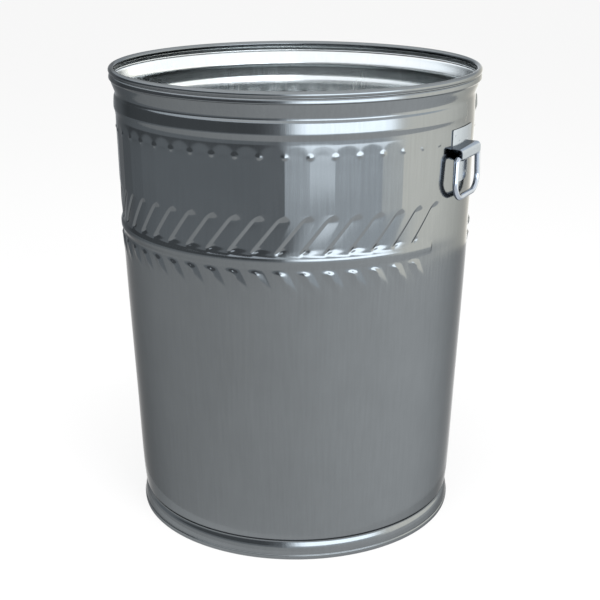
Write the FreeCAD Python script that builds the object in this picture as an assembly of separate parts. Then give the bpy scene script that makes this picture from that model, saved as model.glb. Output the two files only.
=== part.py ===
import FreeCAD, Part
import math
import os
from FreeCAD import Vector

# A tapered galvanized steel can, open at the top, with a drop handle on each side.
# Millimetres.  The origin is the middle of the foot, +Z is up, the handles are on +X and -X.

# ---- driving dimensions -------------------------------------------------------------------
# A "drop" is measured down from the rim's top, an "inset" in from the widest point of the
# rim (upper half) or of the hem (lower half), so both ends of the can may be resized.
CAN_HEIGHT = 669.0          # floor to the top of the rolled rim
RIM_RADIUS = 266.7          # outside of the rolled rim
HEM_RADIUS = 238.5          # outside of the hem the can stands on
SHEET = 0.8                 # body and bottom sheet
SEAM_FIT = 0.05             # play between layers that are clinched together

# rolled rim
BEAD_RADIUS = 4.4           # outside radius of the roll
WIRE_BITE = 0.02            # how far the rolled sheet squeezes the rim wire
ROLL_START_DEG = -35.0      # where the roll leaves the neck, below its outermost point
ROLL_END_DEG = 245.0        # where the edge of the sheet stops, inside the mouth

# neck and lid-stop band
NECK_TOP_DROP = 11.0
NECK_TOP_INSET = 1.7
NECK_MID_DROP = 26.5
NECK_MID_INSET = 5.4
NECK_FOOT_DROP = 35.5
NECK_FOOT_INSET = 8.2
BAND_HEIGHT = 22.0          # from the neck's foot down to the band's lower edge
BAND_RISE = 2.4             # how far the band stands out
BAND_EDGE = 1.6             # height of its steep lower edge
BAND_CREST = 8.8            # height up the band at which its gentle top slope starts
BAND_GAP_START_DEG = 2.3    # where the band stops over a handle, and where it starts again
BAND_GAP_END_DEG = 20.0

# belt: upright flats above a bend, each creased along its middle into a slanting flute below it
FLATS_PER_SIDE = 25         # pitches from one handle to the other, some of them left plain
PLAIN_BEFORE = 2            # pitches left plain before a handle ...
PLAIN_AFTER = 3             # ... and after it
BELT_TOP_DROP = 77.0
BELT_TOP_INSET = 8.1
FLAT_END = 7.0              # height over which a flat or a flute runs out
BEND_DROP = 151.0
BEND_INSET = 9.7
FLUTE_START = 12.0          # height below the bend at which a flute has opened ...
FLUTE_START_DEPTH = 1.4     # ... to this depth
FLUTE_DEPTH = 2.2           # depth at its foot
SLANT_FOOT_DROP = 213.5
SLANT_FOOT_INSET = 11.3
UPPER_SLANT_DEG = -5.7      # turn of a flute about the can from the bend to its foot
RIB_DROP = 223.5            # middle of the rib between the two rows of flutes
RIB_INSET = 11.7
RIB_HEIGHT = 18.0
RIB_RISE = 2.0
RIB_GAP_START_DEG = -16.5   # where the rib stops before a handle, and starts again after it
RIB_GAP_END_DEG = 20.0
LOWER_TOP_DROP = 235.0
LOWER_TOP_INSET = 12.1
LOWER_NOSE = 4.0            # height of the blunt head of a lower ridge
LOWER_RISE = 1.6            # height of that head above the wall
LOWER_SLANT_DEG = 5.0
BELT_FOOT_DROP = 274.0
BELT_FOOT_INSET = 13.2

# plain lower wall, swaged groove, hem and bottom, heights above the floor
WALL_FOOT_Z = 60.0
WALL_FOOT_INSET = -0.1
GROOVE_Z = 26.0
GROOVE_HALF = 6.0
GROOVE_DEPTH = 3.0
GROOVE_TOP_INSET = 2.5
GROOVE_FOOT_INSET = 2.6
FLARE_Z = 9.5
FLARE_INSET = 0.8
HEM_HEIGHT = 6.8
HEM_ROUND = 1.9             # rounding of the hem's lower edges
CREASE_HEIGHT = 0.8         # height of the crease above the hem
CREASE_INSET = 1.2
PAN_Z = 19.6                # top face of the recessed bottom

# handle ears
EAR_SHEET = 1.2
EAR_SEAT = 0.05             # ear to wall
EAR_WIDTH = 70.0
LEAF_TOP_DROP = 70.0
LEAF_CORNER = 2.5
TONGUE_WIDTH = 48.0
TONGUE_FOOT_DROP = 145.0
TONGUE_CORNER = 9.0
HOOD_TOP_RISE = 12.6        # top of the hood above the pivot axis
HOOD_LIP_FALL = 1.0         # lip of the hood below it
HOOD_ROUND = 6.2            # outside radius of the hood's bends, and its front from the pivot axis
DIMPLE_RADIUS = 1.9
DIMPLE_DEPTH = 0.6
DIMPLES = ((-27.0, 79.5), (-14.0, 88.0), (14.5, 88.5),      # across the ear, drop
           (-14.5, 133.5), (14.0, 134.5))

# drop handles
PIVOT_DROP = 107.4
ROD_RADIUS = 4.0
ROD_OFFSET = 7.9            # pivot axis from the wall
ROD_PLAY = 0.3              # rod to the sheet that carries it
LEG_PLAY = 0.9              # handle leg to the end of the hood it passes
LEG_FLARE = 4.0             # how much wider the handle is at the foot, on each side
HANDLE_FALL = 56.0          # pivot axis to the middle of the foot bar
TOP_BEND = 7.0              # bend radii on the middle of the rod
FOOT_BEND = 22.0
BUTT_GAP = 1.0              # between the rod's two ends, hidden in the hood

# ---- worked out from them -----------------------------------------------------------------
NECK_FOOT_RADIUS = RIM_RADIUS - NECK_FOOT_INSET
BELT_TOP_RADIUS = RIM_RADIUS - BELT_TOP_INSET
BEND_RADIUS = RIM_RADIUS - BEND_INSET
SLANT_FOOT_RADIUS = RIM_RADIUS - SLANT_FOOT_INSET
RIB_RADIUS = RIM_RADIUS - RIB_INSET
LOWER_TOP_RADIUS = RIM_RADIUS - LOWER_TOP_INSET
BELT_FOOT_RADIUS = RIM_RADIUS - BELT_FOOT_INSET
CREASE_RADIUS = HEM_RADIUS - CREASE_INSET
NECK_FOOT_Z = CAN_HEIGHT - NECK_FOOT_DROP
BELT_TOP_Z = CAN_HEIGHT - BELT_TOP_DROP
BEND_Z = CAN_HEIGHT - BEND_DROP
SLANT_FOOT_Z = CAN_HEIGHT - SLANT_FOOT_DROP
RIB_Z = CAN_HEIGHT - RIB_DROP
LOWER_TOP_Z = CAN_HEIGHT - LOWER_TOP_DROP
BELT_FOOT_Z = CAN_HEIGHT - BELT_FOOT_DROP
LEAF_TOP_Z = CAN_HEIGHT - LEAF_TOP_DROP
TONGUE_FOOT_Z = CAN_HEIGHT - TONGUE_FOOT_DROP
PIVOT_Z = CAN_HEIGHT - PIVOT_DROP
HOOD_REACH = ROD_OFFSET + HOOD_ROUND
HOOD_TOP_Z = PIVOT_Z + HOOD_TOP_RISE
HOOD_LIP_Z = PIVOT_Z - HOOD_LIP_FALL
HOOD_FLOOR_Z = PIVOT_Z - ROD_RADIUS - ROD_PLAY

AXIS = Vector(0, 0, 1)
CENTRE = Vector(0, 0, 0)
FULL_TURN = 360.0
HALF_TURN = FULL_TURN / 2.0
SIDE_STEPS = 2 * FLATS_PER_SIDE
STEP_DEG = HALF_TURN / SIDE_STEPS       # half a pitch: from a flat's corner to its middle


# ---- small helpers ------------------------------------------------------------------------
def polar(radius, degrees, z):
    angle = math.radians(degrees)
    return Vector(radius * math.cos(angle), radius * math.sin(angle), z)


def at(radius, z):
    return Vector(radius, 0, z)


def line(start, end):
    return Part.LineSegment(start, end).toShape()


def arc(centre, radius, start_deg, end_deg):
    """Arc in the XZ plane, from start_deg to end_deg in either direction."""
    def point(degrees):
        angle = math.radians(degrees)
        return centre + Vector(radius * math.cos(angle), 0, radius * math.sin(angle))
    middle = (start_deg + end_deg) / 2.0
    return Part.Arc(point(start_deg), point(middle), point(end_deg)).toShape()


def chain(points):
    return [line(a, b) for a, b in zip(points, points[1:])]


def spin(edges, degrees=FULL_TURN):
    """Turn a closed outline in the XZ plane about the can's axis."""
    return Part.Face(Part.Wire(edges)).revolve(CENTRE, AXIS, degrees)


def interpolate(pairs, z):
    """Radius at a height, from (z, radius) pairs that rise in z."""
    for (z0, r0), (z1, r1) in zip(pairs, pairs[1:]):
        if z <= z1:
            return r0 + (r1 - r0) * (z - z0) / (z1 - z0)
    return pairs[-1][1]


def belt_radius(z):
    """Outside radius of the plain wall beside the flats and flutes."""
    return interpolate([(BELT_FOOT_Z, BELT_FOOT_RADIUS), (LOWER_TOP_Z, LOWER_TOP_RADIUS),
                        (RIB_Z, RIB_RADIUS), (SLANT_FOOT_Z, SLANT_FOOT_RADIUS),
                        (BEND_Z, BEND_RADIUS), (BELT_TOP_Z, BELT_TOP_RADIUS)], z)


# ---- body shell ---------------------------------------------------------------------------
def roll_centre():
    return at(RIM_RADIUS - BEAD_RADIUS, CAN_HEIGHT - BEAD_RADIUS)


def neck_points(inset):
    """Outside of the neck from the belt up, moved in by inset."""
    return [at(BELT_TOP_RADIUS - inset, BELT_TOP_Z),
            at(NECK_FOOT_RADIUS - inset, NECK_FOOT_Z),
            at(RIM_RADIUS - NECK_MID_INSET - inset, CAN_HEIGHT - NECK_MID_DROP),
            at(RIM_RADIUS - NECK_TOP_INSET - inset, CAN_HEIGHT - NECK_TOP_DROP)]


def neck_and_rim():
    """Flared neck whose top edge is rolled in over the rim wire."""
    centre = roll_centre()
    outer_roll = arc(centre, BEAD_RADIUS, ROLL_START_DEG, ROLL_END_DEG)
    inner_roll = arc(centre, BEAD_RADIUS - SHEET, ROLL_END_DEG, ROLL_START_DEG)
    outer = neck_points(0) + [outer_roll.valueAt(outer_roll.FirstParameter)]
    inner = neck_points(SHEET) + [inner_roll.valueAt(inner_roll.LastParameter)]
    edges = chain(outer) + [outer_roll]
    edges.append(line(outer_roll.valueAt(outer_roll.LastParameter),
                      inner_roll.valueAt(inner_roll.FirstParameter)))
    edges.append(inner_roll)
    edges += chain(inner[::-1])
    edges.append(line(inner[0], outer[0]))
    return spin(edges)


def band_outline(inset, root):
    """Outline of the lid-stop band, its face moved in by inset, its back at root."""
    top = NECK_FOOT_Z
    foot = top - BAND_HEIGHT
    face = NECK_FOOT_RADIUS + BAND_RISE - inset
    base = NECK_FOOT_RADIUS - inset
    points = [at(root, foot), at(base, foot), at(face, foot + BAND_EDGE),
              at(face, foot + BAND_CREST), at(base, top), at(root, top)]
    return chain(points + points[:1])


def band_arcs(inset, root):
    sweep = HALF_TURN - (BAND_GAP_END_DEG - BAND_GAP_START_DEG)
    piece = spin(band_outline(inset, root), sweep)
    arcs = []
    for side in (0.0, HALF_TURN):
        copy = piece.copy()
        copy.rotate(CENTRE, AXIS, side + BAND_GAP_END_DEG)
        arcs.append(copy)
    return arcs


def foot_points(inset):
    """Outside of the plain wall from the crease above the hem up to the belt, moved in by inset."""
    outside = HEM_RADIUS - inset
    groove_inset = (GROOVE_TOP_INSET + GROOVE_FOOT_INSET) / 2.0 + GROOVE_DEPTH
    return [at(outside - CREASE_INSET, HEM_HEIGHT + CREASE_HEIGHT),
            at(outside - FLARE_INSET, FLARE_Z),
            at(outside - GROOVE_FOOT_INSET, GROOVE_Z - GROOVE_HALF),
            at(outside - groove_inset, GROOVE_Z),
            at(outside - GROOVE_TOP_INSET, GROOVE_Z + GROOVE_HALF),
            at(outside - WALL_FOOT_INSET, WALL_FOOT_Z),
            at(BELT_FOOT_RADIUS - inset, BELT_FOOT_Z)]


def wall_and_hem():
    """Plain lower wall, groove and the hooked hem that holds the bottom's flange."""
    outer = foot_points(0)
    inner = foot_points(SHEET)
    leg_outer = CREASE_RADIUS - 2.0 * (SHEET + SEAM_FIT)
    leg_inner = leg_outer - SHEET
    slot_outer = CREASE_RADIUS - SHEET
    outer_round = at(HEM_RADIUS - HEM_ROUND, HEM_ROUND)
    edges = [line(at(HEM_RADIUS, HEM_HEIGHT), outer[0])] + chain(outer)
    edges.append(line(outer[-1], inner[-1]))
    edges += chain(inner[::-1])
    edges += chain([inner[0], at(slot_outer, SHEET), at(leg_outer, SHEET), at(leg_outer, HEM_HEIGHT),
                    at(leg_inner, HEM_HEIGHT), at(leg_inner, SHEET), at(leg_inner + SHEET, 0),
                    at(HEM_RADIUS - HEM_ROUND, 0)])
    edges.append(arc(outer_round, HEM_ROUND, -90.0, 0.0))
    edges.append(line(at(HEM_RADIUS, HEM_ROUND), at(HEM_RADIUS, HEM_HEIGHT)))
    return spin(edges)


def is_pressed(step):
    """Whether this step is the middle of a pressed flat; the corners are the even steps."""
    pitch = (step // 2) % FLATS_PER_SIDE
    return step % 2 == 1 and PLAIN_AFTER <= pitch < FLATS_PER_SIDE - PLAIN_BEFORE


def is_ribbed(step):
    """Whether the rib between the flute rows runs past this half-pitch step."""
    first = round((RIB_GAP_END_DEG - UPPER_SLANT_DEG) / STEP_DEG)
    last = SIDE_STEPS + round((RIB_GAP_START_DEG - UPPER_SLANT_DEG) / STEP_DEG)
    return first <= step % SIDE_STEPS <= last


def belt_ring(z, radius, turn, change):
    """Points of one level of the belt. change(step) is added to the radius."""
    return [polar(radius + change(step), step * STEP_DEG + turn, z)
            for step in range(2 * SIDE_STEPS)]


def belt_levels(inset):
    """Each level of the belt from the top down: its points, and whether it is truly round."""
    def level(z, turn, middle=0.0, ring=0.0, is_round=False):
        def change(step):
            return (middle if is_pressed(step) else 0.0) + (ring if is_ribbed(step) else 0.0)
        return belt_ring(z, belt_radius(z) - inset, turn, change), is_round

    slant = UPPER_SLANT_DEG
    sag = BEND_RADIUS * (1.0 - math.cos(math.radians(STEP_DEG)))
    start_z = BEND_Z - FLUTE_START
    foot_z = SLANT_FOOT_Z + FLAT_END
    per_mm = slant / (BEND_Z - SLANT_FOOT_Z)
    half_rib = RIB_HEIGHT / 2.0
    quarter_rib = RIB_HEIGHT / 4.0
    return [level(BELT_TOP_Z, 0.0, is_round=True),
            level(BELT_TOP_Z - FLAT_END, 0.0, -sag),
            level(BEND_Z, 0.0, -sag),
            level(start_z, per_mm * (BEND_Z - start_z), -FLUTE_START_DEPTH),
            level(foot_z, per_mm * (BEND_Z - foot_z), -FLUTE_DEPTH),
            level(SLANT_FOOT_Z, slant),
            level(RIB_Z + quarter_rib, slant, ring=RIB_RISE),
            level(RIB_Z - quarter_rib, slant, ring=RIB_RISE),
            level(RIB_Z - half_rib, slant),
            level(LOWER_TOP_Z - LOWER_NOSE, slant, LOWER_RISE),
            level(BELT_FOOT_Z, slant + LOWER_SLANT_DEG, is_round=True)]


def level_edges(points, is_round):
    """Closed run of edges through one level's points, as arcs where the level is round."""
    edges = []
    for start, end in zip(points, points[1:] + points[:1]):
        if is_round:
            middle = (start + end) / 2.0
            out = Vector(middle.x, middle.y, 0)
            radius = math.hypot(start.x, start.y)
            middle = out.normalize() * radius + Vector(0, 0, start.z)
            edges.append(Part.Arc(start, middle, end).toShape())
        else:
            edges.append(line(start, end))
    return edges


def belt():
    """Pressed belt: a sheet with an outer and an inner skin of ruled facets."""
    faces = []
    ends = []
    for inset in (0.0, SHEET):
        runs = [level_edges(points, is_round) for points, is_round in belt_levels(inset)]
        for upper, lower in zip(runs, runs[1:]):
            faces += [Part.makeRuledSurface(a, b) for a, b in zip(upper, lower)]
        ends.append((runs[0], runs[-1]))
    for outer, inner in zip(*ends):
        faces.append(Part.Face([Part.Wire(outer), Part.Wire(inner)]))
    shell = Part.Shell(faces)
    shell.sewShape()
    solid = Part.Solid(shell)
    if solid.Volume < 0:
        solid.reverse()
    return solid


def body_shell():
    neck = neck_and_rim()
    skin_middle = NECK_FOOT_RADIUS - SHEET / 2.0
    neck = neck.fuse(band_arcs(0.0, skin_middle))
    neck = neck.cut(band_arcs(SHEET, NECK_FOOT_RADIUS - 2.0 * SHEET))
    return neck.fuse([belt(), wall_and_hem()])


# ---- rim wire and bottom ------------------------------------------------------------------
def rim_wire():
    centre = roll_centre()
    return Part.makeTorus(centre.x, BEAD_RADIUS - SHEET + WIRE_BITE, Vector(0, 0, centre.z), AXIS)


def bottom_pan():
    """Recessed round bottom whose turned-down flange stands in the hem."""
    flange = SHEET + SEAM_FIT
    wall = [(point.z, point.x) for point in foot_points(flange)]
    outer = [at(CREASE_RADIUS - flange, SHEET + SEAM_FIT),
             at(CREASE_RADIUS - flange, HEM_HEIGHT + CREASE_HEIGHT),
             at(HEM_RADIUS - FLARE_INSET - flange, FLARE_Z),
             at(interpolate(wall, PAN_Z), PAN_Z)]
    inner = [point - Vector(SHEET, 0, 0) for point in outer]
    inner[-1] = at(interpolate(wall, PAN_Z - SHEET) - SHEET, PAN_Z - SHEET)
    points = outer + [at(0, PAN_Z), at(0, PAN_Z - SHEET)] + inner[::-1]
    return spin(chain(points + points[:1]))


# ---- handle ear (built on +X) -------------------------------------------------------------
def ear_skin():
    """The layer of sheet that lies on the wall, all the way round, cut to shape later."""
    low = TONGUE_FOOT_Z - EAR_SHEET
    high = LEAF_TOP_Z + EAR_SHEET
    heights = [low, BELT_TOP_Z, high] if high > BELT_TOP_Z else [low, high]
    inner = [at(belt_radius(z) + EAR_SEAT, z) for z in heights]
    outer = [point + Vector(EAR_SHEET, 0, 0) for point in inner]
    points = inner + outer[::-1]
    return spin(chain(points + points[:1]))


def bar(width, low, high, corner=0.0):
    """Block from the can's axis out past the ear, its outline rounded as seen from the side."""
    length = belt_radius(LEAF_TOP_Z) + HOOD_REACH
    box = Part.makeBox(length, width, high - low, Vector(0, -width / 2.0, low))
    if corner > 0:
        box = box.makeFillet(corner, [edge for edge in box.Edges if along_x(edge)])
    return box


def along_x(edge):
    start, end = [vertex.Point for vertex in edge.Vertexes]
    return math.isclose(abs(start.x - end.x), (start - end).Length)


def hood(width, with_floor):
    """Sheet bent out from the wall over the rod, and back under it where it has a floor."""
    root = belt_radius(HOOD_TOP_Z) - EAR_SHEET
    front = belt_radius(PIVOT_Z) + HOOD_REACH
    shoulder = at(front - HOOD_ROUND, HOOD_TOP_Z - HOOD_ROUND)
    inner_round = HOOD_ROUND - EAR_SHEET
    edges = [line(at(root, HOOD_TOP_Z), at(shoulder.x, HOOD_TOP_Z)),
             arc(shoulder, HOOD_ROUND, 90.0, 0.0)]
    if with_floor:
        floor_z = HOOD_FLOOR_Z
        turn = at(front - HOOD_ROUND, floor_z + inner_round)
        edges += [line(at(front, shoulder.z), at(front, turn.z)),
                  arc(turn, HOOD_ROUND, 0.0, -90.0),
                  line(at(turn.x, floor_z - EAR_SHEET), at(root, floor_z - EAR_SHEET)),
                  line(at(root, floor_z - EAR_SHEET), at(root, floor_z)),
                  line(at(root, floor_z), at(turn.x, floor_z)),
                  arc(turn, inner_round, -90.0, 0.0),
                  line(at(front - EAR_SHEET, turn.z), at(front - EAR_SHEET, shoulder.z))]
    else:
        edges += [line(at(front, shoulder.z), at(front, HOOD_LIP_Z)),
                  line(at(front, HOOD_LIP_Z), at(front - EAR_SHEET, HOOD_LIP_Z)),
                  line(at(front - EAR_SHEET, HOOD_LIP_Z), at(front - EAR_SHEET, shoulder.z))]
    edges += [arc(shoulder, inner_round, 0.0, 90.0),
              line(at(shoulder.x, HOOD_TOP_Z - EAR_SHEET), at(root, HOOD_TOP_Z - EAR_SHEET)),
              line(at(root, HOOD_TOP_Z - EAR_SHEET), at(root, HOOD_TOP_Z))]
    face = Part.Face(Part.Wire(edges))
    solid = face.extrude(Vector(0, width, 0))
    solid.translate(Vector(0, -width / 2.0, 0))
    return solid


def clinch(y, drop):
    """Small round press mark that joins the ear to the wall, as a tool for cutting."""
    z = CAN_HEIGHT - drop
    face = belt_radius(z) + EAR_SEAT + EAR_SHEET
    out = Vector(math.sqrt(face ** 2 - y ** 2), y, 0).normalize()
    tip = out * (face - DIMPLE_DEPTH) + Vector(0, 0, z)
    past = DIMPLE_RADIUS / DIMPLE_DEPTH
    return Part.makeCone(0, past * (DIMPLE_DEPTH + EAR_SHEET), DIMPLE_DEPTH + EAR_SHEET, tip, out)


def wall_core():
    """Everything inside the wall's outer face, for trimming the ear's back."""
    heights = [TONGUE_FOOT_Z - EAR_WIDTH, BELT_TOP_Z, LEAF_TOP_Z + EAR_WIDTH]
    points = [at(belt_radius(z) + EAR_SEAT, z) for z in heights]
    points += [at(0, heights[-1]), at(0, heights[0])]
    return spin(chain(points + points[:1]))


def handle_ear():
    """Leaf above, hood over the rod, and a tongue below, all of one sheet."""
    leaf = bar(EAR_WIDTH, HOOD_TOP_Z - EAR_SHEET, LEAF_TOP_Z)
    leaf = leaf.common(bar(EAR_WIDTH, HOOD_TOP_Z - EAR_WIDTH, LEAF_TOP_Z, LEAF_CORNER))
    tongue = bar(TONGUE_WIDTH, TONGUE_FOOT_Z, HOOD_FLOOR_Z)
    tongue = tongue.common(bar(TONGUE_WIDTH, TONGUE_FOOT_Z, LEAF_TOP_Z, TONGUE_CORNER))
    ear = ear_skin().common(leaf.fuse(tongue))
    bent = hood(EAR_WIDTH, False).fuse(hood(TONGUE_WIDTH, True)).cut(wall_core())
    marks = [clinch(y, drop) for y, drop in DIMPLES]
    return ear.fuse(bent).cut(marks).removeSplitter()


# ---- drop handle (built on +X, hanging) ---------------------------------------------------
def rounded(points, radii):
    """Edges through the points, each inner corner rounded by its radius."""
    edges = []
    start = points[0]
    for before, corner, after, radius in zip(points, points[1:], points[2:], radii):
        back = (before - corner).normalize()
        on = (after - corner).normalize()
        half = back.getAngle(on) / 2.0
        reach = radius / math.tan(half)
        bisector = (back + on).normalize()
        first = corner + back * reach
        last = corner + on * reach
        middle = corner + bisector * (radius / math.sin(half) - radius)
        edges.append(line(start, first))
        edges.append(Part.Arc(first, middle, last).toShape())
        start = last
    edges.append(line(start, points[-1]))
    return edges


def drop_handle():
    """One bent rod whose ends butt together inside the hood."""
    x = belt_radius(PIVOT_Z) + ROD_OFFSET
    foot = PIVOT_Z - HANDLE_FALL
    top_half = EAR_WIDTH / 2.0 + LEG_PLAY + ROD_RADIUS
    foot_half = top_half + LEG_FLARE
    points = [Vector(x, BUTT_GAP / 2.0, PIVOT_Z), Vector(x, top_half, PIVOT_Z),
              Vector(x, foot_half, foot), Vector(x, -foot_half, foot),
              Vector(x, -top_half, PIVOT_Z), Vector(x, -BUTT_GAP / 2.0, PIVOT_Z)]
    spine = Part.Wire(rounded(points, (TOP_BEND, FOOT_BEND, FOOT_BEND, TOP_BEND)))
    section = Part.Wire(Part.makeCircle(ROD_RADIUS, points[0], Vector(0, 1, 0)))
    return spine.makePipeShell([section], True, False)


# ---- hand out -----------------------------------------------------------------------------
def turned(shape):
    copy = shape.copy()
    copy.rotate(CENTRE, AXIS, HALF_TURN)
    return copy


def build():
    ear = handle_ear()
    handle = drop_handle()
    return {"body_shell": body_shell(), "rim_wire": rim_wire(), "bottom_pan": bottom_pan(),
            "ear_right": ear, "ear_left": turned(ear),
            "handle_right": handle, "handle_left": turned(handle)}


os.makedirs("parts", exist_ok=True)
for name, shape in build().items():
    if len(shape.Solids) == 1:
        shape = shape.Solids[0]
    shape.exportStep(os.path.join("parts", name + ".step"))
    box = shape.BoundBox
    print(name, shape.ShapeType, "solids", len(shape.Solids), "valid", shape.isValid(),
          "volume cm3 %.2f" % (shape.Volume / 1000.0),
          "x %.2f..%.2f z %.2f..%.2f" % (box.XMin, box.XMax, box.ZMin, box.ZMax))
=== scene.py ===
import math

import bpy
import numpy as np
from mathutils import Matrix, Vector


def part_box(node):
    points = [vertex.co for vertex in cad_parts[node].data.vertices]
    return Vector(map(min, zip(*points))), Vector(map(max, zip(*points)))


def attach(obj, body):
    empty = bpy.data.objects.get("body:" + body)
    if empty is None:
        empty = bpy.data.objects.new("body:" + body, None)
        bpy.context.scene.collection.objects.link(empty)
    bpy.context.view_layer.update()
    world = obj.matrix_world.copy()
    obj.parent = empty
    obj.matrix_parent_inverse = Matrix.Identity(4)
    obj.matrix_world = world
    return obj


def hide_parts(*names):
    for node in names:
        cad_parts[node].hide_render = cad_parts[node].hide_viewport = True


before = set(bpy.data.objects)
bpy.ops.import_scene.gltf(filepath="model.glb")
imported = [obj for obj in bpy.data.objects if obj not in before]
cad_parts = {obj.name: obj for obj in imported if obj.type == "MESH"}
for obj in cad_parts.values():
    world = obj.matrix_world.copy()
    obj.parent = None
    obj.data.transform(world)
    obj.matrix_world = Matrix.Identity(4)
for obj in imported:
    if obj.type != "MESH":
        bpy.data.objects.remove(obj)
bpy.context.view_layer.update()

# The can stands on the floor with its axis on Z.  Lengths are metres; MM turns a size on the
# drawing into metres.  A "drop" is measured down from the rim's top, an "inset" in from the
# rim's widest point, a height up from the floor.
MM = 0.001
_, SHELL_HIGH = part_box("body_shell")
CAN_HEIGHT = SHELL_HIGH[2]
RIM_RADIUS = SHELL_HIGH[0]
HEM_RADIUS = 238.5 * MM
SHEET = 0.8 * MM

# ---- belt pattern: upright flats, and below the bend a slanting flute from each corner --------
FLATS_PER_SIDE = 25
PITCH_DEG = 180.0 / FLATS_PER_SIDE
PITCH_WIDTH = 32.4 * MM
PLAIN_BEFORE = 2                # pitches left plain before a handle ...
PLAIN_AFTER = 3                 # ... and after it
FLAT_TOP_DROP = 83.0 * MM       # top of a flat at its corners
FLAT_ARCH = 6.0 * MM            # how much higher its rounded top reaches in the middle
FLAT_TOP_SOFTNESS = 7.0 * MM
FLAT_SAG = 0.5 * MM             # middle of a flat inside the round wall
NUB_DROP = 84.5 * MM            # pressed nub at the top of each corner line
NUB_RISE = 0.9 * MM
NUB_SIZE = (3.4 * MM, 2.6 * MM)     # half width and half height of the soft bump
BELT_PHASE_DEG = -0.45          # the belt's corner lines from the handles' middle line
BEND_DROP = 160.0 * MM
FLUTE_TOP_DROP = BEND_DROP      # a flute opens here ...
FLUTE_OPEN_DROP = 172.0 * MM    # ... to its full depth here
FLUTE_DEPTH = 2.0 * MM
FLUTE_FOOT_DROP = 206.0 * MM    # it starts to close here ...
FLUTE_END_DROP = 218.0 * MM     # ... and ends here
FLUTE_FACE = (0.5, 0.96)        # share of a pitch taken by its gentle face, at its top and foot
FLUTE_RETURN = 0.17             # share of a pitch taken by its steep left side
SLANT_FOOT_DROP = 212.0 * MM
UPPER_SLANT_DEG = -9.3
PIT_DROP = 209.5 * MM           # small pit in each flute's foot
PIT_OFFSET = 1.5 * MM
PIT_DEPTH = 1.0 * MM
PIT_SIZE = (4.0 * MM, 3.0 * MM)
LOWER_TOP_DROP = 235.0 * MM
LOWER_SLANT_DEG = 5.0
RIDGE_DROPS = (235.5 * MM, 241.0 * MM)      # a ridge of the lower row rises between these
RIDGE_RISE = 1.5 * MM
RIDGE_HALF_WIDTH = 10.0 * MM
KNOB_RISE = 0.5 * MM            # and has a small knob at its head
KNOB_SIZE = (3.4 * MM, 3.6 * MM)
BELT_FOOT_DROP = 274.0 * MM
BAND_RISE = 2.4 * MM
BAND_PROFILE = ((37.0, 0.0), (42.0, 0.7), (55.0, 1.0), (59.0, 0.62), (63.0, 0.21),
                (68.0, 0.0))    # drop, share of the rise
BAND_GAP_DEG = (2.3, 20.0)
BAND_FADE_DEG = ((-0.9, 0.1), (0.0, 1.0))    # its ends fade over these, beside the gap's edges
RIB_DROP = 223.5 * MM
RIB_HALF = 9.0 * MM
RIB_RISE = 2.0 * MM
RIB_FLAT_SHARE = 0.25           # share of its half height that is flat
RIB_FADE_DEG = ((-0.2, 0.8), (-0.8, 0.2))
RIB_GAP_DEG = (-16.5, 20.0)     # at the rib, from the last of one side to the first of the next

# ---- rolled rim ----------------------------------------------------------------------------
BEAD_RADIUS = 4.4 * MM
ROLL_START_DEG = -40.0
ROLL_END_DEG = 245.0
ROLL_ROWS = 34                  # rings round the roll, outside and again inside

# ---- rolled hem ----------------------------------------------------------------------------
HEM_TOP = 6.8 * MM
HEM_ROUND = 1.9 * MM            # radius of its lower edge
HEM_TURN_IN = 1.7 * MM          # gap between the wall and the leg that is turned in
HEM_ARC_ROWS = 7
HEM_ROWS = 9 + HEM_ARC_ROWS     # rings round the hem

# ---- plain profile: (drop, inset) from the crease under the rim to the belt's foot ----------
UPPER_PROFILE = ((8.7, 2.6), (9.3, 1.9), (10.0, 1.3), (11.2, 0.85), (13.0, 0.5), (14.8, 0.3),
                 (15.6, 0.6), (16.4, 1.5), (17.6, 2.4), (20.4, 3.3), (26.5, 5.4), (30.5, 7.0),
                 (35.5, 8.2), (57.5, 8.2), (68.0, 8.2), (77.0, 8.2), (106.0, 8.9),
                 (151.0, 9.7), (213.5, 11.3), (235.0, 12.1), (274.0, 13.2))
# (height, radius) from the belt's foot down to the hem
LOWER_PROFILE = ((7.6, 237.3), (9.5, 237.7), (14.5, 237.2), (20.0, 235.9), (24.5, 233.5),
                 (26.0, 233.0), (27.5, 233.5), (32.0, 235.9), (38.0, 236.6), (60.0, 238.6),
                 (175.9, 243.8))


def smooth_through(points, values):
    """Monotone cubic through (x, y) points."""
    xs, ys = (np.array(column, dtype=float) for column in zip(*points))
    steps = np.diff(xs)
    slopes = np.diff(ys) / steps
    left, right = slopes[:-1], slopes[1:]
    inside = np.where(left * right > 0, 2.0 * left * right / (left + right + 1e-30), 0.0)
    tangents = np.concatenate(([slopes[0]], inside, [slopes[-1]]))
    values = np.clip(values, xs[0], xs[-1])
    index = np.clip(np.searchsorted(xs, values) - 1, 0, len(xs) - 2)
    t = (values - xs[index]) / steps[index]
    return ((2 * t ** 3 - 3 * t ** 2 + 1) * ys[index]
            + (t ** 3 - 2 * t ** 2 + t) * steps[index] * tangents[index]
            + (3 * t ** 2 - 2 * t ** 3) * ys[index + 1]
            + (t ** 3 - t ** 2) * steps[index] * tangents[index + 1])


def ease(value, start, end):
    """0 at start, 1 at end, smooth between them, in either direction."""
    t = np.clip((value - start) / (end - start), 0.0, 1.0)
    return t * t * (3.0 - 2.0 * t)


def plain_radius(z):
    """Outside radius of the sheet without flutes, band or rib."""
    points = [(height * MM, radius * MM) for height, radius in LOWER_PROFILE]
    points += [(CAN_HEIGHT - drop * MM, RIM_RADIUS - inset * MM)
               for drop, inset in reversed(UPPER_PROFILE)]
    return smooth_through(points, z)


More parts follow.
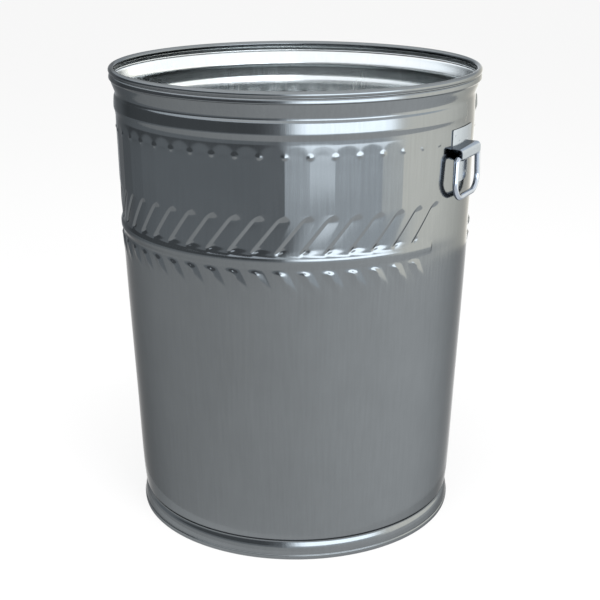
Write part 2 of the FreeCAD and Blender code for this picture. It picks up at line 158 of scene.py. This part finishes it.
def turn_at(z):
    """How far, in degrees, the flute lines have turned about the axis at a height."""
    bend = CAN_HEIGHT - BEND_DROP
    foot = CAN_HEIGHT - SLANT_FOOT_DROP
    lower_top = CAN_HEIGHT - LOWER_TOP_DROP
    lower_foot = CAN_HEIGHT - BELT_FOOT_DROP
    upper = UPPER_SLANT_DEG * np.clip((bend - z) / (bend - foot), 0.0, 1.0)
    lower = LOWER_SLANT_DEG * np.clip((lower_top - z) / (lower_top - lower_foot), 0.0, 1.0)
    return upper + lower


def is_pressed(pitch):
    side_pitch = np.mod(pitch, FLATS_PER_SIDE)
    return (side_pitch >= PLAIN_AFTER) & (side_pitch < FLATS_PER_SIDE - PLAIN_BEFORE)


def has_flute(line):
    """1 for the corner lines that carry a flute, 0 for the others."""
    side_line = np.mod(line, FLATS_PER_SIDE)
    return np.where((side_line > PLAIN_AFTER) & (side_line <= FLATS_PER_SIDE - PLAIN_BEFORE),
                    1.0, 0.0)


def soft_spot(across, down, size):
    """1 at the middle of a small pressed mark, fading to 0 around it."""
    return np.exp(-(across / size[0]) ** 2 - (down / size[1]) ** 2)


def belt_change(z, base_deg):
    """What the flats and flutes add to the radius, for a column of heights, a row of angles."""
    drop = CAN_HEIGHT - z
    place = (base_deg - BELT_PHASE_DEG) / PITCH_DEG
    pitch = np.floor(place)
    part = place - pitch                            # 0 and 1 at the corner lines
    bow = 1.0 - (2.0 * part - 1.0) ** 2
    arch = FLAT_TOP_DROP - FLAT_ARCH * bow
    flat = FLAT_SAG * bow * ease(drop, arch - FLAT_TOP_SOFTNESS, arch + FLAT_TOP_SOFTNESS)
    flat = np.where(is_pressed(pitch), flat, 0.0)
    # a flute is deepest at its corner line, and its gentle face widens on the way down
    down = np.clip((drop - FLUTE_TOP_DROP) / (FLUTE_FOOT_DROP - FLUTE_TOP_DROP), 0.0, 1.0)
    wide = FLUTE_FACE[0] + (FLUTE_FACE[1] - FLUTE_FACE[0]) * down
    opening = (ease(drop, FLUTE_TOP_DROP, FLUTE_OPEN_DROP)
               * ease(drop, FLUTE_END_DROP, FLUTE_FOOT_DROP))
    face = np.clip(1.0 - part / wide, 0.0, 1.0) * has_flute(pitch)
    side = np.clip(1.0 - (1.0 - part) / FLUTE_RETURN, 0.0, 1.0) * has_flute(pitch + 1)
    depth = FLUTE_DEPTH * opening * np.maximum(face, side)
    upper = np.maximum(depth, flat * ease(drop, FLUTE_END_DROP, FLUTE_FOOT_DROP))
    corner = np.round(place)
    off_corner = (place - corner) * PITCH_WIDTH
    pit = PIT_DEPTH * soft_spot(off_corner - PIT_OFFSET, drop - PIT_DROP, PIT_SIZE)
    head, crest = RIDGE_DROPS
    swell = ease(drop, head, crest) * (1.0 - ease(drop, crest, BELT_FOOT_DROP))
    tent = np.clip(1.0 - np.abs(off_corner) / RIDGE_HALF_WIDTH, 0.0, 1.0)
    ridge = RIDGE_RISE * swell * tent
    knob = KNOB_RISE * soft_spot(off_corner, drop - crest, KNOB_SIZE)
    side_corner = np.mod(corner, FLATS_PER_SIDE)
    has_nub = (side_corner >= PLAIN_AFTER) & (side_corner <= FLATS_PER_SIDE - PLAIN_BEFORE)
    nub = NUB_RISE * soft_spot(off_corner, drop - NUB_DROP, NUB_SIZE)
    return has_flute(corner) * (ridge + knob - pit) - upper + np.where(has_nub, nub, 0.0)


def outside_gap(angle, gap, fades):
    """0 in the gap that a band or rib leaves at a handle, 1 round the rest of the side."""
    start, end = gap
    (start_from, start_to), (end_from, end_to) = fades
    return (1.0 - ease(angle, start + start_from, start + start_to)
            + ease(angle, end + end_from, end + end_to))


def ring_change(z, base_deg):
    """What the lid-stop band and the rib add to the radius."""
    drop = CAN_HEIGHT - z
    angle = base_deg + turn_at(z)
    band_on = outside_gap(np.mod(angle, 180.0), BAND_GAP_DEG, BAND_FADE_DEG)
    band = smooth_through([(d * MM, share) for d, share in BAND_PROFILE], drop)
    rib_on = outside_gap(np.mod(angle + 90.0, 180.0) - 90.0, RIB_GAP_DEG, RIB_FADE_DEG)
    height = np.abs(drop - RIB_DROP) / RIB_HALF
    rib = 1.0 - ease(height, RIB_FLAT_SHARE, 1.0)
    return BAND_RISE * band * band_on + RIB_RISE * rib * rib_on


def outer_radius(z, base_deg):
    return plain_radius(z) + belt_change(z, base_deg) + ring_change(z, base_deg)


def spread_between(start, end, count):
    return list(np.linspace(start, end, count, endpoint=False))


def shell_heights():
    """Heights of the shell's rings from the crease above the hem up to the rolled rim."""
    drops = [8.7, 9.1, 9.5, 10.0, 10.6, 11.3, 12.2, 13.2, 14.1, 14.8, 15.4, 15.9, 16.4, 17.0,
             17.8, 19, 21, 24, 28, 31.5, 34, 36, 37.1, 38, 39, 40, 41, 42.2, 44, 47, 50, 53, 54.6,
             56, 57.3, 58.6, 60, 61.5, 63, 64.6, 66.2, 67.8]
    drops += spread_between(69.0, 92.0, 19) + [94.0, 98.0, 106.0, 116.0, 126.0, 136.0, 144.0]
    drops += [151.0, 156.0] + spread_between(159.0, 171.0, 16) + spread_between(171.0, 201.0, 12)
    drops += spread_between(201.0, 219.0, 18) + spread_between(219.0, 234.0, 10)
    drops += spread_between(234.0, 248.0, 12) + spread_between(248.0, 276.0, 7)
    heights = [CAN_HEIGHT - drop * MM for drop in drops]
    below_belt = CAN_HEIGHT - 276.0 * MM
    heights += spread_between(below_belt, 60.0 * MM, 12)
    heights += [h * MM for h in (60, 52, 46, 41, 38, 36, 34, 32.6, 31.2, 29.8, 28.6, 27.6, 26.8,
                                 26, 25.2, 24.4, 23.4, 22.2, 20.8, 19.4, 18, 16, 14, 12, 10.5,
                                 9.5, 8.7, 8.1, 7.6)]
    return np.array(heights[::-1])


HALF_STEPS = (0.0, 0.05, 0.11, 0.18, 0.26, 0.35, 0.45, 0.55, 0.66, 0.77, 0.89)  # to the middle

# more columns at the ends of the band and the rib, in degrees
BAND_EDGE_STEPS = (-1.0, -0.66, -0.33, 0.0, 0.33, 0.66, 1.0)
RIB_EDGE_STEPS = (-0.8, -0.4, 0.0, 0.4, 0.8)
LEAST_STEP_DEG = 0.12


def column_angles():
    angles = []
    half = PITCH_DEG / 2.0
    for pitch in range(2 * FLATS_PER_SIDE):
        line = pitch * PITCH_DEG + BELT_PHASE_DEG
        angles += [line + half * step for step in HALF_STEPS]
        angles += [line + half * (2.0 - step) for step in (1.0,) + HALF_STEPS[:0:-1]]
    extra = []
    for side in (0.0, 180.0):
        for edge in BAND_GAP_DEG:
            extra += [side + edge + step for step in BAND_EDGE_STEPS]
        for edge in RIB_GAP_DEG:
            extra += [side + edge - UPPER_SLANT_DEG + step for step in RIB_EDGE_STEPS]
    angles = sorted(set(round(angle % 360.0, 3) for angle in angles + extra))
    kept = [angles[0]]
    for angle in angles[1:]:
        if angle - kept[-1] > LEAST_STEP_DEG:
            kept.append(angle)
    return np.array(kept)


def ring_rows():
    """The closed section of the sheet, as rings of (radius, height) over every column."""
    columns = column_angles()
    heights = shell_heights()[:, None]
    outer = outer_radius(heights, columns[None, :])
    turns = turn_at(heights[:, 0])
    rows = [(outer[i], heights[i, 0], turns[i]) for i in range(len(turns))]
    centre_r = RIM_RADIUS - BEAD_RADIUS
    centre_z = CAN_HEIGHT - BEAD_RADIUS
    flat = np.ones(len(columns))
    roll = np.radians(np.linspace(ROLL_START_DEG, ROLL_END_DEG, ROLL_ROWS))
    for angle in roll:
        rows.append((flat * (centre_r + BEAD_RADIUS * math.cos(angle)),
                     centre_z + BEAD_RADIUS * math.sin(angle), 0.0))
    thin = BEAD_RADIUS - SHEET
    for angle in roll[::-1]:
        rows.append((flat * (centre_r + thin * math.cos(angle)),
                     centre_z + thin * math.sin(angle), 0.0))
    rows += [(outer[i] - SHEET, heights[i, 0], turns[i]) for i in range(len(turns))][::-1]
    crease = LOWER_PROFILE[0][1] * MM
    leg_out = crease - HEM_TURN_IN
    leg_in = leg_out - SHEET
    for radius, height in ((crease - SHEET, SHEET), (leg_out, SHEET), (leg_out, HEM_TOP),
                           (leg_in, HEM_TOP), (leg_in, SHEET), (leg_in + SHEET, 0.0)):
        rows.append((flat * radius, height, turns[0]))
    for angle in np.radians(np.linspace(-90.0, 0.0, HEM_ARC_ROWS)):
        rows.append((flat * (HEM_RADIUS - HEM_ROUND + HEM_ROUND * math.cos(angle)),
                     HEM_ROUND + HEM_ROUND * math.sin(angle), turns[0]))
    # the hem's upper edge, rounded in towards the wall: (in from its outside, above its top)
    for inset, above in ((0.0, -0.9), (0.35, -0.2), (0.9, 0.1)):
        rows.append((flat * (HEM_RADIUS - inset * MM), HEM_TOP + above * MM, turns[0]))
    return columns, rows


def grid_object(name, points, closed_rows):
    """Mesh from a rows x columns grid of points; the columns close on themselves."""
    rows, columns = points.shape[:2]
    index = np.arange(rows * columns).reshape(rows, columns)
    last = rows if closed_rows else rows - 1
    here = index[:last]
    above = index[(np.arange(last) + 1) % rows]
    quads = np.stack([here, np.roll(here, -1, 1), np.roll(above, -1, 1), above], -1)
    mesh = bpy.data.meshes.new(name)
    mesh.from_pydata(points.reshape(-1, 3).tolist(), [], quads.reshape(-1, 4).tolist())
    mesh.polygons.foreach_set("use_smooth", [True] * len(mesh.polygons))
    obj = bpy.data.objects.new(name, mesh)
    bpy.context.scene.collection.objects.link(obj)
    return obj


def can_shell():
    columns, rows = ring_rows()
    points = np.empty((len(rows), len(columns), 3))
    for i, (radius, height, turn) in enumerate(rows):
        angle = np.radians(columns + turn)
        points[i, :, 0] = radius * np.cos(angle)
        points[i, :, 1] = radius * np.sin(angle)
        points[i, :, 2] = height
    shell = grid_object("fluted_shell", points, True)
    first_inner = len(shell_heights()) + ROLL_ROWS
    last_inner = len(rows) - HEM_ROWS
    inner = np.zeros((len(rows), len(columns)), dtype=int)
    inner[first_inner:last_inner] = 1
    # the outside takes the zinc darkened as painted shade, the inside the sheet's own lighter tone
    shell.data.materials.append(outer_zinc_painted_shade)
    shell.data.materials.append(inner_zinc)
    shell.data.polygons.foreach_set("material_index", inner.ravel().tolist())
    return shell


# ---- materials -----------------------------------------------------------------------------
class Nodes:
    """Short hand for building one material's node tree."""

    def __init__(self, name):
        self.material = bpy.data.materials.new(name)
        self.material.use_nodes = True
        self.tree = self.material.node_tree
        self.shader = self.tree.nodes["Principled BSDF"]

    def add(self, kind, links=(), **settings):
        node = self.tree.nodes.new(kind)
        for key, value in settings.items():
            setattr(node, key, value)
        for socket, source in dict(links).items():
            if isinstance(source, bpy.types.NodeSocket):
                self.tree.links.new(source, node.inputs[socket])
            else:
                node.inputs[socket].default_value = source
        return node

    def link(self, source, socket):
        self.tree.links.new(source, self.shader.inputs[socket])


def zinc(name, colour, roughness, streak, edge=0.45):
    """Galvanized steel: faint drawn streaks up and down, cloudy tone, soft ripples."""
    n = Nodes(name)
    place = n.add("ShaderNodeTexCoord").outputs["Object"]
    along = n.add("ShaderNodeMapping", {"Vector": place, "Scale": (1.0, 1.0, 0.04)}).outputs[0]
    streaks = n.add("ShaderNodeTexNoise", {"Vector": along, "Scale": 260.0, "Detail": 4.0,
                                           "Roughness": 0.6}).outputs[0]
    clouds = n.add("ShaderNodeTexNoise", {"Vector": place, "Scale": 14.0, "Detail": 5.0,
                                          "Roughness": 0.6}).outputs[0]
    mixed = n.add("ShaderNodeMath", {0: streaks, 1: clouds}, operation="ADD").outputs[0]
    ramp = n.add("ShaderNodeValToRGB", {"Fac": n.add(
        "ShaderNodeMath", {0: mixed, 1: 0.5}, operation="MULTIPLY").outputs[0]})
    low, high = ramp.color_ramp.elements
    low.position, high.position = 0.3, 0.7
    low.color = tuple(c * (1.0 - streak) for c in colour) + (1.0,)
    high.color = tuple(c * (1.0 + streak) for c in colour) + (1.0,)
    n.link(ramp.outputs[0], "Base Color")
    gloss = n.add("ShaderNodeMapRange", {"Value": mixed, "From Min": 0.6, "From Max": 1.4,
                                         "To Min": roughness * 0.75, "To Max": roughness * 1.3})
    n.link(gloss.outputs[0], "Roughness")
    ripple = n.add("ShaderNodeTexNoise", {"Vector": place, "Scale": 9.0, "Detail": 2.0}).outputs[0]
    soft = n.add("ShaderNodeBump", {"Height": ripple, "Strength": 0.06, "Distance": 0.01})
    fine = n.add("ShaderNodeBump", {"Height": streaks, "Strength": 0.05, "Distance": 0.001,
                                    "Normal": soft.outputs[0]})
    n.link(fine.outputs[0], "Normal")
    n.shader.inputs["Metallic"].default_value = 1.0
    n.shader.inputs["Specular Tint"].default_value = (edge, edge, edge, 1.0)
    return n.material


# Painted shade: the outside of the sheet is given a far darker colour than the same zinc inside,
# so that its reflections come out dark.
OUTER_SHADED_COLOUR = (0.185, 0.200, 0.210)
INNER_COLOUR = (0.66, 0.69, 0.70)
PRESSING_COLOUR = (0.33, 0.37, 0.42)
ROD_COLOUR = (0.36, 0.40, 0.46)
outer_zinc_painted_shade = zinc("zinc_outside_painted_shade", OUTER_SHADED_COLOUR, 0.12, 0.06)
inner_zinc = zinc("zinc_inside", INNER_COLOUR, 0.22, 0.06, 0.8)
pressing_zinc = zinc("zinc_pressing", PRESSING_COLOUR, 0.16, 0.05)
rod_zinc = zinc("zinc_rod", ROD_COLOUR, 0.12, 0.05)


def finish_with(obj, material):
    obj.data.materials.clear()
    obj.data.materials.append(material)


shell = can_shell()
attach(shell, "can")
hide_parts("body_shell")

NODE_FINISH = {"bottom_pan": inner_zinc, "rim_wire": rod_zinc,
               "ear_right": pressing_zinc, "ear_left": pressing_zinc,
               "handle_right": rod_zinc, "handle_left": rod_zinc}
for node, material in NODE_FINISH.items():
    finish_with(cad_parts[node], material)


# ---- camera, floor and light ---------------------------------------------------------------
CAMERA_DISTANCE = 1.809         # from the can's axis, level
CAMERA_HEIGHT = 0.9123
CAMERA_AZIMUTH_DEG = 27.8       # the camera stands this far round from -Y towards +X
CAMERA_DOWN_DEG = 18.41
CAMERA_PAN_DEG = 0.21           # to the right of the axis
CAMERA_LENS = 75.05
CAMERA_FRAME = 36.0


def add_camera():
    data = bpy.data.cameras.new("camera")
    data.lens = CAMERA_LENS
    data.sensor_width = CAMERA_FRAME
    camera = bpy.data.objects.new("camera", data)
    azimuth = math.radians(CAMERA_AZIMUTH_DEG)
    camera.location = (CAMERA_DISTANCE * math.sin(azimuth), -CAMERA_DISTANCE * math.cos(azimuth),
                       CAMERA_HEIGHT)
    camera.rotation_euler = (math.radians(90.0 - CAMERA_DOWN_DEG), 0.0,
                             azimuth - math.radians(CAMERA_PAN_DEG))
    bpy.context.scene.collection.objects.link(camera)
    bpy.context.scene.camera = camera


def seen_directly(tree):
    """1 for what the camera, a reflection or glass sees, 0 for the light that falls on things."""
    path = tree.nodes.new("ShaderNodeLightPath")
    first = tree.nodes.new("ShaderNodeMath")
    second = tree.nodes.new("ShaderNodeMath")
    first.operation = second.operation = "MAXIMUM"
    tree.links.new(path.outputs["Is Camera Ray"], first.inputs[0])
    tree.links.new(path.outputs["Is Glossy Ray"], first.inputs[1])
    tree.links.new(first.outputs[0], second.inputs[0])
    tree.links.new(path.outputs["Is Transmission Ray"], second.inputs[1])
    return second.outputs[0]


def add_world(level):
    world = bpy.data.worlds.new("studio")
    world.use_nodes = True
    tree = world.node_tree
    shader = tree.nodes["Background"]
    shader.inputs["Color"].default_value = (1.0, 1.0, 1.0, 1.0)
    scale = tree.nodes.new("ShaderNodeMapRange")
    scale.inputs["To Min"].default_value = level
    scale.inputs["To Max"].default_value = 1.0
    tree.links.new(seen_directly(tree), scale.inputs["Value"])
    tree.links.new(scale.outputs[0], shader.inputs["Strength"])
    bpy.context.scene.world = world


def flat_panel(name, corners, material):
    mesh = bpy.data.meshes.new(name)
    mesh.from_pydata(corners, [], [tuple(range(len(corners)))])
    panel = bpy.data.objects.new(name, mesh)
    bpy.context.scene.collection.objects.link(panel)
    panel.data.materials.append(material)
    return panel


FLOOR_TONE = 0.86
FLOOR_GLOW_SHARE = 0.8          # the rest of what is seen is lit, so it shows the shadow


def floor_material():
    n = Nodes("pale_floor")
    tree = n.tree
    diffuse = n.add("ShaderNodeBsdfDiffuse", {"Color": (FLOOR_TONE,) * 3 + (1.0,)})
    glow = n.add("ShaderNodeEmission", {"Color": (1.0, 1.0, 1.0, 1.0), "Strength": 1.0})
    share = n.add("ShaderNodeMath", {0: seen_directly(tree), 1: FLOOR_GLOW_SHARE},
                  operation="MULTIPLY")
    mix = n.add("ShaderNodeMixShader", {0: share.outputs[0]})
    tree.links.new(diffuse.outputs[0], mix.inputs[1])
    tree.links.new(glow.outputs[0], mix.inputs[2])
    tree.links.new(mix.outputs[0], tree.nodes["Material Output"].inputs["Surface"])
    return n.material


def glow_material(name):
    """Light that each corner of a card gives by itself, as its own colour."""
    n = Nodes(name)
    glow = n.add("ShaderNodeEmission", {"Color": n.add("ShaderNodeAttribute",
                                                       attribute_name="glow").outputs["Color"]})
    n.tree.links.new(glow.outputs[0], n.tree.nodes["Material Output"].inputs["Surface"])
    return n.material


WALL_DISTANCE = 1.5             # the studio's cards stand in a ring this far from the can's axis
WALL_HEIGHT = 1.25
WALL_ROWS = 126
DOME_HEIGHT = 2.4
RING_COLUMNS = 361
SHEEN_START = 0.28              # the floor's sheen starts this far out, just above the floor
SHEEN_HEIGHT = 0.0008
SKY_GLOW = 1.5
FLOOR_SLOPE = 0.25              # how much brighter the floor is on the right than in the middle
COOL_WHITE = np.array((0.95, 1.0, 1.05))
WARM_WHITE = np.array((1.03, 0.99, 0.90))
# Each card: degrees from the camera, positive to its right (start, end, softness), metres above
# the floor (low, high, softness), brightness and tint.  A later card hangs before an earlier one.
CARDS = (((-175.0, -4.0, 6.0), (-1.0, 1.0, 0.05), 0.5, COOL_WHITE),      # dim screen
         ((-125.0, -14.0, 8.0), (0.3, 1.0, 0.03), 0.22, COOL_WHITE),     # dark screen over it
         ((-4.0, 60.0, 6.0), (-1.0, 0.32, 0.03), 1.3, COOL_WHITE),       # grey screen
         ((3.0, 20.0, 3.0), (0.19, 0.32, 0.02), 2.4, COOL_WHITE),        # strip light
         ((0.0, 60.0, 8.0), (0.34, 1.0, 0.03), 5.0, COOL_WHITE),         # key card
         ((60.0, 155.0, 12.0), (-1.0, 1.0, 0.05), 2.2, WARM_WHITE))      # side card


def within(value, span):
    start, end, soft = span
    return ease(value, start - soft, start + soft) * (1.0 - ease(value, end - soft, end + soft))


def wall_glow(angle, height):
    glow = SKY_GLOW * COOL_WHITE
    for across, up, brightness, tint in CARDS:
        share = within(angle, across) * within(height, up)
        glow = glow * (1.0 - share) + brightness * tint * share
    return glow


def floor_glow(angle, height):
    return np.full(3, 1.0 + FLOOR_SLOPE * math.sin(math.radians(angle)))


def sky_glow(angle, height):
    return np.full(3, SKY_GLOW)


def stage_ring(name, radii, heights, light):
    """Ring round the can that only reflections see; light(angle, height) is its brightness."""
    points = np.empty((len(radii), RING_COLUMNS, 3))
    glows = np.ones((len(radii), RING_COLUMNS, 4))
    for i, (radius, height) in enumerate(zip(radii, heights)):
        for j, side in enumerate(np.linspace(-180.0, 180.0, RING_COLUMNS)):
            angle = math.radians(side + CAMERA_AZIMUTH_DEG)
            points[i, j] = (radius * math.sin(angle), -radius * math.cos(angle), height)
            glows[i, j, :3] = light(side, height)
    ring = grid_object(name, points, False)
    attribute = ring.data.color_attributes.new("glow", "FLOAT_COLOR", "POINT")
    attribute.data.foreach_set("color", glows.ravel().tolist())
    ring.data.materials.append(glow_material(name))
    ring.visible_camera = False
    ring.visible_diffuse = False
    ring.visible_shadow = False


def soft_box(name, place, size, power):
    data = bpy.data.lights.new(name, "AREA")
    data.shape = "RECTANGLE"
    data.size, data.size_y = size
    data.energy = power
    lamp = bpy.data.objects.new(name, data)
    position = Matrix.Rotation(math.radians(CAMERA_AZIMUTH_DEG), 4, "Z") @ Vector(place)
    aim = Vector((0.0, 0.0, CAN_HEIGHT / 2.0)) - position
    facing = aim.to_track_quat("-Z", "Y").to_matrix().to_4x4()
    lamp.matrix_world = Matrix.Translation(position) @ facing
    bpy.context.scene.collection.objects.link(lamp)
    lamp.visible_glossy = False


WORLD_LEVEL = 0.75
FLOOR_REACH = 40.0
add_camera()
add_world(WORLD_LEVEL)
flat_panel("floor", [(FLOOR_REACH * x, FLOOR_REACH * y, 0.0)
                     for x, y in ((-1, -1), (1, -1), (1, 1), (-1, 1))], floor_material())
wall_heights = np.linspace(0.0, WALL_HEIGHT, WALL_ROWS)
stage_ring("studio_cards", [WALL_DISTANCE] * len(wall_heights), wall_heights, wall_glow)
stage_ring("floor_sheen", (SHEEN_START, WALL_DISTANCE), (SHEEN_HEIGHT, SHEEN_HEIGHT), floor_glow)
stage_ring("overhead", (WALL_DISTANCE, WALL_DISTANCE * 0.7, 0.01),
           (WALL_HEIGHT, DOME_HEIGHT * 0.9, DOME_HEIGHT), sky_glow)
soft_box("top_box", (0.0, -0.6, 2.6), (1.6, 1.0), 60.0)
soft_box("front_box", (1.2, -2.4, 2.2), (1.0, 1.0), 30.0)
bpy.context.scene.view_settings.view_transform = "Standard"
